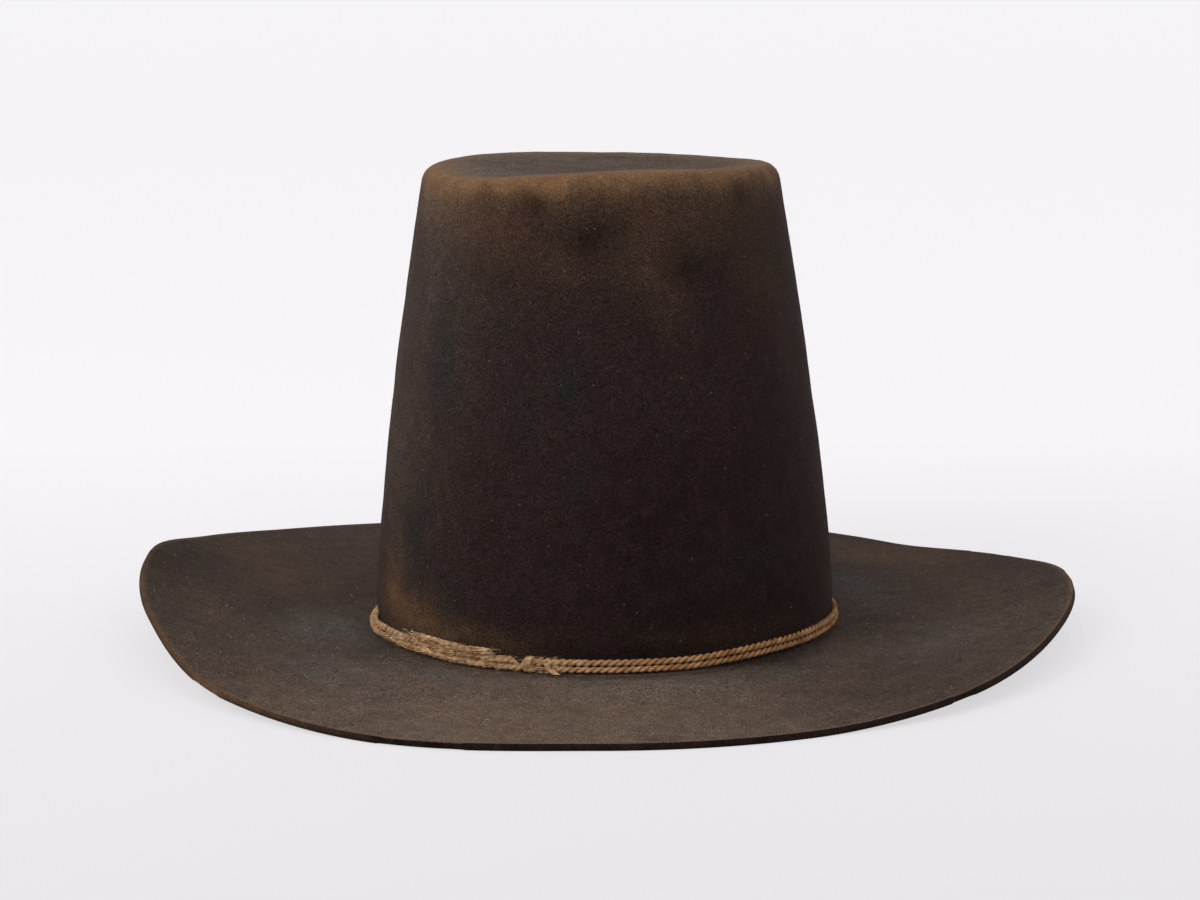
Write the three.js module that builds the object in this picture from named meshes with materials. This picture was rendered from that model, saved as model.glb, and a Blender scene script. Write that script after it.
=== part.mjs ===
// Wide-brim felt hat with a band of two twisted cords.
// Millimetres, +Z up, the floor at z = 0. The side that faces the viewer looks along -Y,
// and angles go round the crown in degrees, from +X (the viewer's right) towards +Y (the back).

import * as THREE from "three";

const FULL_TURN = 360;

// Felt
const FELT_WALL = 2.4;
const HEAD_HALF_WIDTH = 84.95;
const HEAD_HALF_DEPTH = 93.1;
const HEAD_CENTRE = { x: -2, y: -4.5 };

// A head is egg-shaped: how far in front of the middle its oval is widest, at the crown's foot
const WIDEST_IN_FRONT = 12;

// Crown wall: how far it has come in at the top, how the taper gathers speed, and its lean to the left
const WALL_FOOT = 10.6;
const WALL_TOP = 176.8;
const TAPER_INSET = 21;
const TAPER_POWER = 1.35;
const LEAN = -1.65;

// Shoulder and the shallow dish inside it
const SHOULDER_RADIUS = 7;
const DISH_DEPTH = 4.5;

// Pinch of the felt behind the cords, and the corner where the crown turns into the brim
const CORNER_RADIUS = 4.5;
const PINCH_DEPTH = 1;
const PINCH_HEIGHT = 6.5;
const PINCH_HOLDS = 0.5;

// Brim: the share of its width over which it sinks from the headline to the floor,
// and how late its sides turn up
const BRIM_CENTRE = { x: -3.9, y: -2.2 };
const BRIM_SETTLES = 0.72;
const BRIM_CURL_POWER = 2;

// Height of the shoulder's crest above the floor
const CREST = [
  { at: 0, height: 177 },
  { at: 45, height: 176.2 },
  { at: 90, height: 176.5 },
  { at: 135, height: 177.1 },
  { at: 180, height: 176.2 },
  { at: 217, height: 174 },
  { at: 250, height: 176.4 },
  { at: 285, height: 178 },
  { at: 322, height: 177.3 },
];

// Height of the brim's underside where it meets the crown
const HEADLINE = [
  { at: 0, height: 2.2 },
  { at: 90, height: 0.9 },
  { at: 180, height: 0 },
  { at: 270, height: 1.1 },
];

// The brim's edge: its reach from the brim's centre and the height of its underside
const BRIM_EDGE = [
  { at: 0, reach: 183.3, height: 14.5 },
  { at: 22.5, reach: 183.8, height: 6.4 },
  { at: 45, reach: 178.2, height: 0 },
  { at: 67.5, reach: 179, height: 0 },
  { at: 90, reach: 182.3, height: 0 },
  { at: 112.5, reach: 184.1, height: 0.8 },
  { at: 135, reach: 181.6, height: 6.1 },
  { at: 157.5, reach: 177.8, height: 15.4 },
  { at: 180, reach: 175.9, height: 24.5 },
  { at: 202.5, reach: 177.8, height: 17 },
  { at: 225, reach: 183, height: 4 },
  { at: 247.5, reach: 184.6, height: 0 },
  { at: 270, reach: 178, height: 0 },
  { at: 292.5, reach: 178, height: 0 },
  { at: 315, reach: 181, height: 4.7 },
  { at: 337.5, reach: 180, height: 11.2 },
];

// Dents in the crown's wall: their middle, their half-sizes round and up the wall, and their depth
const DENTS = [
  { at: 236, height: 166, round: 9, up: 6, depth: 1.2 },
  { at: 273, height: 162, round: 12, up: 8, depth: 0.9 },
];

// Cords: d is out from the head oval, h up from the brim's underside at the headline
const CORD_RADIUS = 1.25;
const LOWER_CORD = { d: 3.08, h: 4.08 };
const UPPER_CORD = { d: 2.9, h: 6.84 };
const HITCH_RADIUS = 1;
const HITCH = [
  { at: 251.6, d: 3.45, h: 9.5 },
  { at: 251.8, d: 4.7, h: 8.9 },
  { at: 252.3, d: 5.55, h: 7.3 },
  { at: 252.9, d: 5.65, h: 5.3 },
  { at: 253.4, d: 5.8, h: 3.95 },
];
const TAIL_RADIUS = 0.9;
const TAIL = [
  { at: 256.4, d: 5.4, h: 6.8 },
  { at: 257, d: 5.75, h: 4.9 },
  { at: 257.8, d: 7.2, h: 3.9 },
  { at: 258.8, d: 10.5, h: 3.6 },
];
const FRAYED_RADIUS = 1.2;
const FRAYED_END = [
  { at: 215.5, d: 3.75, h: 9.5 },
  { at: 224.5, d: 3.8, h: 9.6 },
  { at: 233.5, d: 3.8, h: 9.6 },
  { at: 242.5, d: 3.85, h: 9.5 },
];

// Fineness of the solids
const SEGMENTS = 60;
const CORD_SIDES = 8;
const STRAND_STEPS = 9;
const SLOPE_STEP = 1e-4;

// Stations down the felt's inner face, zone by zone, as shares of each zone
const DISH_STATIONS = [0.3, 0.6, 0.85, 1];
const SHOULDER_STATIONS = [0.33, 0.67, 1];
const WALL_STATIONS = [0.2, 0.42, 0.64, 0.82, 0.92, 0.96, 0.98, 1];
const CORNER_STATIONS = [0.33, 0.67, 1];
const BRIM_STATIONS = [0.12, 0.28, 0.5, BRIM_SETTLES, 0.86, 1];

const feltMaterial = new THREE.MeshStandardMaterial({ color: 0x3f322c, roughness: 0.95, metalness: 0 });
const cordMaterial = new THREE.MeshStandardMaterial({ color: 0xb98f5e, roughness: 0.9, metalness: 0 });

const radians = THREE.MathUtils.degToRad;
const smooth = THREE.MathUtils.smoothstep;

// A table's column as a smooth function of the angle, level between two equal rows
function roundTheHat(rows, column) {
  const count = rows.length;
  const wrap = (angle) => THREE.MathUtils.euclideanModulo(angle, FULL_TURN);
  const gap = (i) => wrap(rows[(i + 1) % count].at - rows[i].at);
  const climb = (i) => (rows[(i + 1) % count][column] - rows[i][column]) / gap(i);
  const slope = (i) => {
    const before = climb((i + count - 1) % count);
    const after = climb(i % count);
    return before * after > 0 ? (2 * before * after) / (before + after) : 0;
  };
  return (angle) => {
    const found = rows.findLastIndex((row) => row.at <= wrap(angle));
    const i = found < 0 ? count - 1 : found;
    const share = wrap(angle - rows[i].at) / gap(i);
    const next = rows[(i + 1) % count][column];
    const eased = share * share * (3 - 2 * share);
    const lift = share * (1 - share) ** 2 * slope(i);
    const drop = share * share * (1 - share) * slope(i + 1);
    return THREE.MathUtils.lerp(rows[i][column], next, eased) + gap(i) * (lift - drop);
  };
}

const crestHeight = roundTheHat(CREST, "height");
const headlineHeight = roundTheHat(HEADLINE, "height");
const edgeReach = roundTheHat(BRIM_EDGE, "reach");
const edgeHeight = roundTheHat(BRIM_EDGE, "height");

// A point d outside the inner head oval at the height z
function ovalPoint(angle, d, z) {
  const share = THREE.MathUtils.clamp((z - WALL_FOOT) / (WALL_TOP - WALL_FOOT), 0, 1);
  const turn = radians(angle);
  const egg = WIDEST_IN_FRONT * (1 - share) * Math.cos(turn) ** 2;
  return new THREE.Vector3(
    HEAD_CENTRE.x + LEAN * share + (HEAD_HALF_WIDTH + d) * Math.cos(turn),
    HEAD_CENTRE.y + (HEAD_HALF_DEPTH + d) * Math.sin(turn) - egg,
    z,
  );
}

function dentDepth(angle, z) {
  return DENTS.reduce((sum, dent) => {
    const round = (radians(angle - dent.at) * HEAD_HALF_WIDTH) / dent.round;
    const up = (z - dent.height) / dent.up;
    return sum + dent.depth * Math.exp(-round * round - up * up);
  }, 0);
}

// How far the wall's inner face stands outside the head oval
function wallOffset(angle, z) {
  const share = THREE.MathUtils.clamp((z - WALL_FOOT) / (WALL_TOP - WALL_FOOT), 0, 1);
  const above = (z - headlineHeight(angle) - CORNER_RADIUS) / PINCH_HEIGHT;
  const pinch = PINCH_DEPTH * (1 - smooth(above, PINCH_HOLDS, 1));
  return -TAPER_INSET * share ** TAPER_POWER - pinch - dentDepth(angle, z);
}

const WALL_SLANT = Math.atan((TAPER_INSET * TAPER_POWER) / (WALL_TOP - WALL_FOOT));
const INNER_SHOULDER = SHOULDER_RADIUS - FELT_WALL;

const wallTopHeight = (angle) => {
  return crestHeight(angle) - FELT_WALL - INNER_SHOULDER * (1 - Math.sin(WALL_SLANT));
};

// The zones of the felt's inner face, each for a share from 0 to 1
function shoulderPoint(angle, share) {
  const turn = THREE.MathUtils.lerp(Math.PI / 2, WALL_SLANT, share);
  const top = wallTopHeight(angle);
  const out = wallOffset(angle, top) + INNER_SHOULDER * (Math.cos(turn) - Math.cos(WALL_SLANT));
  return ovalPoint(angle, out, top + INNER_SHOULDER * (Math.sin(turn) - Math.sin(WALL_SLANT)));
}

function dishPoint(angle, share) {
  const middle = WALL_TOP - FELT_WALL - DISH_DEPTH;
  const crest = shoulderPoint(angle, 0);
  const point = new THREE.Vector3(HEAD_CENTRE.x + LEAN, HEAD_CENTRE.y, 0).lerp(crest, share);
  return point.setZ(THREE.MathUtils.lerp(middle, crest.z, smooth(share, 0, 1)));
}

function wallPoint(angle, share) {
  const foot = headlineHeight(angle) + CORNER_RADIUS;
  const z = THREE.MathUtils.lerp(wallTopHeight(angle), foot, share);
  return ovalPoint(angle, wallOffset(angle, z), z);
}

function cornerPoint(angle, share) {
  const turn = THREE.MathUtils.lerp(Math.PI, 1.5 * Math.PI, share);
  const d = CORNER_RADIUS * (1 + Math.cos(turn)) - PINCH_DEPTH;
  return ovalPoint(angle, d, headlineHeight(angle) + CORNER_RADIUS * (1 + Math.sin(turn)));
}

function brimPoint(angle, share) {
  const turn = radians(angle);
  const reach = edgeReach(angle);
  const point = cornerPoint(angle, 1);
  const edge = new THREE.Vector3(
    BRIM_CENTRE.x + reach * Math.cos(turn),
    BRIM_CENTRE.y + reach * Math.sin(turn),
    0,
  );
  const sunk = headlineHeight(angle) * (1 - smooth(share, 0, BRIM_SETTLES));
  point.lerp(edge, share);
  point.z = sunk + edgeHeight(angle) * share ** BRIM_CURL_POWER;
  return point;
}

const ZONES = [
  { pointAt: dishPoint, stations: DISH_STATIONS },
  { pointAt: shoulderPoint, stations: SHOULDER_STATIONS },
  { pointAt: wallPoint, stations: WALL_STATIONS },
  { pointAt: cornerPoint, stations: CORNER_STATIONS },
  { pointAt: brimPoint, stations: BRIM_STATIONS },
];

// The felt's outer face stands one wall outside its inner face, along the normal
function outerPoint(pointAt, angle, share) {
  const back = Math.max(share - SLOPE_STEP, 0);
  const ahead = Math.min(share + SLOPE_STEP, 1);
  const along = pointAt(angle, ahead).sub(pointAt(angle, back));
  const round = pointAt(angle + SLOPE_STEP, share).sub(pointAt(angle - SLOPE_STEP, share));
  const normal = along.cross(round).normalize();
  return pointAt(angle, share).addScaledVector(normal, FELT_WALL);
}

// A closed solid from rings of equal count, each joined to the next.
// A ring of one point is a pole, and with no poles the last ring is joined to the first.
function loft(rings) {
  const positions = rings.flat().flatMap((point) => point.toArray());
  const starts = [];
  let next = 0;
  for (const ring of rings) {
    starts.push(next);
    next += ring.length;
  }
  const sides = Math.max(...rings.map((ring) => ring.length));
  const closed = rings[0].length > 1;
  const index = [];
  for (let row = 0; row < rings.length - (closed ? 0 : 1); row += 1) {
    const other = (row + 1) % rings.length;
    const corner = (ring, side) => starts[ring] + (side % rings[ring].length);
    for (let side = 0; side < sides; side += 1) {
      const [a, b] = [corner(row, side), corner(row, side + 1)];
      const [c, d] = [corner(other, side), corner(other, side + 1)];
      if (a !== b) index.push(a, b, c);
      if (c !== d) index.push(b, d, c);
    }
  }
  const geometry = new THREE.BufferGeometry();
  geometry.setAttribute("position", new THREE.Float32BufferAttribute(positions, 3));
  geometry.setIndex(index);
  return geometry;
}

const ANGLES = Array.from({ length: SEGMENTS }, (_, i) => (i * FULL_TURN) / SEGMENTS);

function feltBody() {
  const inner = [[dishPoint(0, 0)]];
  const outer = [[dishPoint(0, 0).setZ(dishPoint(0, 0).z + FELT_WALL)]];
  for (const { pointAt, stations } of ZONES) {
    for (const share of stations) {
      inner.push(ANGLES.map((angle) => pointAt(angle, share)));
      outer.push(ANGLES.map((angle) => outerPoint(pointAt, angle, share)));
    }
  }
  return loft([...inner, ...outer.reverse()]);
}

// A point beside the crown's foot: out from the head oval and up from the brim's underside
const besideCrown = (angle, d, h) => ovalPoint(angle, d, headlineHeight(angle) + h);

// The ring of a round section, across the path's direction
function section(centre, direction, radius) {
  const side = new THREE.Vector3(0, 0, 1).cross(direction);
  if (side.lengthSq() < SLOPE_STEP) side.set(1, 0, 0);
  side.normalize();
  const up = direction.clone().cross(side).normalize();
  return Array.from({ length: CORD_SIDES }, (_, i) => {
    const turn = (2 * Math.PI * i) / CORD_SIDES;
    const arm = side.clone().multiplyScalar(radius * Math.cos(turn));
    return centre.clone().add(arm).addScaledVector(up, radius * Math.sin(turn));
  });
}

// A cord that runs right round the crown
function cordRing({ d, h }) {
  const step = FULL_TURN / SEGMENTS;
  const rings = ANGLES.map((angle) => {
    const ahead = besideCrown(angle + step, d, h);
    const behind = besideCrown(angle - step, d, h);
    return section(besideCrown(angle, d, h), ahead.sub(behind).normalize(), CORD_RADIUS);
  });
  return loft(rings);
}

// A short strand with flat ends through hand-set places beside the crown
function strand(places, radius) {
  const points = places.map(({ at, d, h }) => besideCrown(at, d, h));
  const path = new THREE.CatmullRomCurve3(points, false, "centripetal");
  const rings = [[path.getPointAt(0)]];
  for (let step = 0; step <= STRAND_STEPS; step += 1) {
    const share = step / STRAND_STEPS;
    rings.push(section(path.getPointAt(share), path.getTangentAt(share), radius));
  }
  rings.push([path.getPointAt(1)]);
  return loft(rings);
}

function piece(name, geometry, material) {
  const mesh = new THREE.Mesh(geometry, material.clone());
  mesh.name = name;
  return mesh;
}

const hat = new THREE.Group();
hat.add(
  piece("felt_body", feltBody(), feltMaterial),
  piece("lower_cord", cordRing(LOWER_CORD), cordMaterial),
  piece("upper_cord", cordRing(UPPER_CORD), cordMaterial),
  piece("hitch_loop", strand(HITCH, HITCH_RADIUS), cordMaterial),
  piece("cord_tail", strand(TAIL, TAIL_RADIUS), cordMaterial),
  piece("frayed_end", strand(FRAYED_END, FRAYED_RADIUS), cordMaterial),
);

export default hat;
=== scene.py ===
"""Wide-brim felt hat with a cord band, dressed round its fixed frame and lit for the camera."""
import logging
import math
import random
from dataclasses import dataclass, field
from enum import Enum
from functools import lru_cache
from typing import Callable, NamedTuple, Sequence

import bmesh
import bpy
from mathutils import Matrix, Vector, noise


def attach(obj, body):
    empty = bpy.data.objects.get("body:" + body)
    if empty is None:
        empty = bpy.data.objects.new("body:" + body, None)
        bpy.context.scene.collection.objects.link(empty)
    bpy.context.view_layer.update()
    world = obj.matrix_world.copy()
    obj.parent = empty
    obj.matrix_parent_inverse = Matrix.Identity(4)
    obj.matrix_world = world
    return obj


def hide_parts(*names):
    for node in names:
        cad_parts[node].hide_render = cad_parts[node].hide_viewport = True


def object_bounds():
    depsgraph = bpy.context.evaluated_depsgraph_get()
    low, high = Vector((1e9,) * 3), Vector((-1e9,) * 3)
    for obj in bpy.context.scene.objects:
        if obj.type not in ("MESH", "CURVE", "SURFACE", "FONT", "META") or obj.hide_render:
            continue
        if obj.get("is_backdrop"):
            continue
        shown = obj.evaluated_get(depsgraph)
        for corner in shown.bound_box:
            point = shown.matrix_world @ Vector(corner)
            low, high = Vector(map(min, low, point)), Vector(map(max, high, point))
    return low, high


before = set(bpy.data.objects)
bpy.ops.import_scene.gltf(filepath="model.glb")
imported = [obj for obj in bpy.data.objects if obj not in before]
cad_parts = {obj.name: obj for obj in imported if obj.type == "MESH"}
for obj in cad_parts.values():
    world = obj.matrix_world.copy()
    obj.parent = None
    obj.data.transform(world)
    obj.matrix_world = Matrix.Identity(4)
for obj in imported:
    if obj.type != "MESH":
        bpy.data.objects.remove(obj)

CAD_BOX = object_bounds()
MM = 0.001
HUNDREDTH = 0.01
FULL_TURN = 360.0
BODY = "root"

log = logging.getLogger("hat")


def hex_colour(code: str) -> tuple[float, float, float, float]:
    """Turns an sRGB hex colour to the linear colour that a shader takes.

    Args:
        code: The colour as "#rrggbb".

    Returns:
        Linear red, green, blue and an alpha of 1.
    """
    shares = [int(code[i:i + 2], 16) / 255 for i in (1, 3, 5)]
    linear = [c / 12.92 if c <= 0.04045 else ((c + 0.055) / 1.055) ** 2.4 for c in shares]
    return (linear[0], linear[1], linear[2], 1.0)


def add_node(tree: bpy.types.NodeTree, kind: str, settings: dict | None = None,
             links: dict | None = None) -> bpy.types.Node:
    """Adds one node with its settings and its incoming links.

    Args:
        tree: The node tree that the node goes in.
        kind: The node's type name.
        settings: Property names, or socket names or numbers, with their values.
        links: Input socket names or numbers, each with (node, output socket).

    Returns:
        The new node.
    """
    node = tree.nodes.new(kind)
    for name, value in (settings or {}).items():
        if isinstance(name, int) or name in node.inputs:
            node.inputs[name].default_value = value
        else:
            setattr(node, name, value)
    for name, (source, output) in (links or {}).items():
        tree.links.new(source.outputs[output], node.inputs[name])
    return node


Socket = tuple[bpy.types.Node, int | str]


def empty_material(name: str) -> bpy.types.Material:
    """Makes a material with no nodes."""
    material = bpy.data.materials.new(name)
    material.use_nodes = True
    material.node_tree.nodes.clear()
    return material


def smooth(value: float, low: float, high: float) -> float:
    """Eases from 0 at low to 1 at high."""
    share = min(max((value - low) / (high - low), 0.0), 1.0)
    return share * share * (3 - 2 * share)


def bell(distance: float) -> float:
    """A soft bump: 1 in the middle, and nearly 0 two half-sizes away."""
    return math.exp(-distance * distance)


def turn_between(a: float, b: float) -> float:
    """The shortest way round from angle b to angle a, in degrees."""
    return (a - b + FULL_TURN / 2) % FULL_TURN - FULL_TURN / 2


class Row(NamedTuple):
    """A value at an angle round the hat, in mm or as a share."""

    at: float
    value: float


class EdgeRow(NamedTuple):
    """Reach of the brim's edge and height of its underside at an angle, in mm."""

    at: float
    reach: float
    height: float


class Dent(NamedTuple):
    """A hollow in the crown's wall: its middle, half-sizes and depth in mm."""

    at: float
    height: float
    round: float
    up: float
    depth: float


@dataclass(frozen=True)
class RoundTable:
    """Values at some angles round the hat, eased between them and level between equal rows."""

    angles: tuple[float, ...]
    values: tuple[float, ...]

    @classmethod
    def of(cls, rows: Sequence[NamedTuple], column: str = "value", unit: float = MM) -> "RoundTable":
        """Takes one named column of a table of rows, in a unit."""
        values = tuple(getattr(row, column) * unit for row in rows)
        return cls(tuple(row.at for row in rows), values)

    def slope(self, i: int) -> float:
        """The curve's slope at a row, 0 where the rows beside it turn back."""
        count = len(self.angles)
        gaps = [self.gap((i - 1) % count), self.gap(i % count)]
        before = (self.values[i % count] - self.values[(i - 1) % count]) / gaps[0]
        after = (self.values[(i + 1) % count] - self.values[i % count]) / gaps[1]
        return 2 * before * after / (before + after) if before * after > 0 else 0.0

    def gap(self, i: int) -> float:
        """Degrees from row i to the next."""
        return (self.angles[(i + 1) % len(self.angles)] - self.angles[i]) % FULL_TURN

    def at(self, angle: float) -> float:
        """The value at an angle.

        Args:
            angle: Degrees round the hat.

        Returns:
            The eased value: in metres, or a share.
        """
        wrapped = angle % FULL_TURN
        i = max((k for k, a in enumerate(self.angles) if a <= wrapped), default=len(self.angles) - 1)
        gap = self.gap(i)
        share = ((wrapped - self.angles[i]) % FULL_TURN) / gap
        following = self.values[(i + 1) % len(self.values)]
        eased = self.values[i] + (following - self.values[i]) * share * share * (3 - 2 * share)
        lift = share * (1 - share) ** 2 * self.slope(i)
        drop = share * share * (1 - share) * self.slope(i + 1)
        return eased + gap * (lift - drop)


# Height of the shoulder's crest, and of the underside where brim and crown meet
CREST = (
    Row(0, 177), Row(45, 176.2), Row(90, 176.5), Row(135, 177.1), Row(180, 176.2),
    Row(217, 174), Row(250, 176.4), Row(285, 178), Row(322, 177.3),
)
HEADLINE = (Row(0, 2.2), Row(90, 0.9), Row(180, 0), Row(270, 1.1))
BRIM_EDGE = (
    EdgeRow(0, 183.3, 14.5), EdgeRow(22.5, 183.8, 6.4), EdgeRow(45, 178.2, 0), EdgeRow(67.5, 179, 0),
    EdgeRow(90, 182.3, 0), EdgeRow(112.5, 184.1, 0.8), EdgeRow(135, 181.6, 6.1), EdgeRow(157.5, 177.8, 15.4),
    EdgeRow(180, 175.9, 24.5), EdgeRow(202.5, 177.8, 17), EdgeRow(225, 183, 4), EdgeRow(247.5, 184.6, 0),
    EdgeRow(270, 178, 0), EdgeRow(292.5, 178, 0), EdgeRow(315, 181, 4.7), EdgeRow(337.5, 180, 11.2),
)
DENTS = (Dent(236, 166, 9, 6, 1.2), Dent(273, 162, 12, 8, 0.9))


class Meridian(NamedTuple):
    """What the tables give at one angle round the hat."""

    angle: float
    crest: float
    headline: float
    reach: float
    rise: float


@dataclass(frozen=True)
class FeltShape:
    """The blocked shape: every place on the felt from an angle and a station.

    A station runs from 0 at the middle of the top to 5 at the brim's edge:
    dish, shoulder, wall, corner and brim take one each.
    """

    wall: float = 2.4 * MM
    head_half_width: float = 84.95 * MM
    head_half_depth: float = 93.1 * MM
    head_centre: Vector = field(default_factory=lambda: Vector((-2, -4.5, 0)) * MM)
    widest_in_front: float = 12 * MM
    brim_centre: Vector = field(default_factory=lambda: Vector((-3.9, -2.2, 0)) * MM)
    wall_foot: float = 10.6 * MM
    wall_top: float = 176.8 * MM
    taper_inset: float = 21 * MM
    taper_power: float = 1.35
    lean: float = -1.65 * MM
    shoulder_radius: float = 7 * MM
    dish_depth: float = 4.5 * MM
    corner_radius: float = 4.5 * MM
    pinch_depth: float = 1 * MM
    pinch_height: float = 6.5 * MM
    pinch_holds: float = 0.5
    brim_settles: float = 0.72
    brim_curl_power: float = 2.0
    crest: RoundTable = RoundTable.of(CREST)
    headline: RoundTable = RoundTable.of(HEADLINE)
    edge_reach: RoundTable = RoundTable.of(BRIM_EDGE, "reach")
    edge_height: RoundTable = RoundTable.of(BRIM_EDGE, "height")

    # The stations where the corner and the brim begin, and where the brim ends
    CORNER, BRIM, STATIONS = 3, 4, 5.0

    @lru_cache(maxsize=4096)
    def meridian(self, angle: float) -> Meridian:
        """Reads the tables once for an angle."""
        return Meridian(angle, self.crest.at(angle), self.headline.at(angle),
                        self.edge_reach.at(angle), self.edge_height.at(angle))

    def __hash__(self) -> int:
        """Lets the table readings be kept between calls."""
        return id(self)

    def oval(self, angle: float, out: float, height: float) -> Vector:
        """A point outside the inner head oval by a distance, at a height."""
        share = min(max((height - self.wall_foot) / (self.wall_top - self.wall_foot), 0.0), 1.0)
        turn = math.radians(angle)
        egg = self.widest_in_front * (1 - share) * math.cos(turn) ** 2
        return self.head_centre + Vector((
            self.lean * share + (self.head_half_width + out) * math.cos(turn),
            (self.head_half_depth + out) * math.sin(turn) - egg,
            height,
        ))

    def wall_out(self, line: Meridian, height: float) -> float:
        """How far the wall's inner face stands outside the head oval."""
        share = min(max((height - self.wall_foot) / (self.wall_top - self.wall_foot), 0.0), 1.0)
        above = (height - line.headline - self.corner_radius) / self.pinch_height
        pinch = self.pinch_depth * (1 - smooth(above, self.pinch_holds, 1))
        dents = 0.0
        for dent in DENTS:
            across = math.radians(turn_between(line.angle, dent.at)) * self.head_half_width
            along = height - dent.height * MM
            dents += dent.depth * MM * bell(math.hypot(across / (dent.round * MM), along / (dent.up * MM)))
        return -self.taper_inset * share ** self.taper_power - pinch - dents

    @property
    def slant(self) -> float:
        """The wall's lean inwards at its top, in radians."""
        return math.atan(self.taper_inset * self.taper_power / (self.wall_top - self.wall_foot))

    @property
    def inner_shoulder(self) -> float:
        """The shoulder's radius on the inner face."""
        return self.shoulder_radius - self.wall

    def wall_top_height(self, line: Meridian) -> float:
        """Where the wall's inner face turns into the shoulder."""
        return line.crest - self.wall - self.inner_shoulder * (1 - math.sin(self.slant))

    def on_shoulder(self, line: Meridian, share: float) -> Vector:
        """A point of the shoulder's inner face, from its crest down to the wall."""
        turn = math.pi / 2 + (self.slant - math.pi / 2) * share
        top = self.wall_top_height(line)
        out = self.wall_out(line, top) + self.inner_shoulder * (math.cos(turn) - math.cos(self.slant))
        height = top + self.inner_shoulder * (math.sin(turn) - math.sin(self.slant))
        return self.oval(line.angle, out, height)

    def on_dish(self, line: Meridian, share: float) -> Vector:
        """A point of the dish's inner face, from its middle to the crest."""
        middle = self.wall_top - self.wall - self.dish_depth
        crest = self.on_shoulder(line, 0)
        centre = self.head_centre + Vector((self.lean, 0, 0))
        point = centre.lerp(crest, share)
        point.z = middle + (crest.z - middle) * smooth(share, 0, 1)
        return point

    def on_wall(self, line: Meridian, share: float) -> Vector:
        """A point of the wall's inner face, from the shoulder to the corner."""
        foot = line.headline + self.corner_radius
        top = self.wall_top_height(line)
        height = top + (foot - top) * share
        return self.oval(line.angle, self.wall_out(line, height), height)

    def on_corner(self, line: Meridian, share: float) -> Vector:
        """A point of the corner where the wall turns into the brim."""
        turn = math.pi * (1 + share / 2)
        out = self.corner_radius * (1 + math.cos(turn)) - self.pinch_depth
        return self.oval(line.angle, out, line.headline + self.corner_radius * (1 + math.sin(turn)))

    def on_brim(self, line: Meridian, share: float) -> Vector:
        """A point of the brim's underside, from the headline to the edge."""
        turn = math.radians(line.angle)
        edge = self.brim_centre + Vector((math.cos(turn), math.sin(turn), 0)) * line.reach
        point = self.on_corner(line, 1).lerp(edge, share)
        sunk = line.headline * (1 - smooth(share, 0, self.brim_settles))
        point.z = sunk + line.rise * share ** self.brim_curl_power
        return point

    def inner(self, angle: float, station: float) -> Vector:
        """A point of the inner face and underside.

        Args:
            angle: Degrees round the hat.
            station: From 0 at the middle of the top to 5 at the brim's edge.

        Returns:
            The point, in metres.
        """
        zones = (self.on_dish, self.on_shoulder, self.on_wall, self.on_corner, self.on_brim)
        zone = min(int(station), len(zones) - 1)
        return zones[zone](self.meridian(angle), station - zone)

    def normal(self, angle: float, station: float) -> Vector:
        """The direction out of the felt's upper and outer face."""
        step = 1e-3
        back, ahead = max(station - step, 0.0), min(station + step, self.STATIONS)
        along = self.inner(angle, ahead) - self.inner(angle, back)
        level = max(station, step)
        round_the_hat = self.inner(angle + step, level) - self.inner(angle - step, level)
        return along.cross(round_the_hat).normalized()

    def beside(self, angle: float, out: float, up: float) -> Vector:
        """A point beside the crown's foot, out from the head oval and up from the headline."""
        return self.oval(angle, out, self.meridian(angle).headline + up)


class Tint(Enum):
    """What rubbing, fading, damp, soil and a grey haze do to the felt, with painted light and shade, as the
    channel that holds each: fading also holds painted highlights and light, the haze a painted sheen, and soil
    painted shade.
    """

    RUBBED = 0
    FADED = 1
    DAMP = 2
    SOILED = 3
    BLOOM = 4


class Mark(NamedTuple):
    """A worn or stained place, or a place of painted light or shade: its middle, half-sizes in mm along both
    ways, and strength.
    """

    tint: Tint
    at: float
    place: float
    round: float
    along: float
    strength: float


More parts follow.
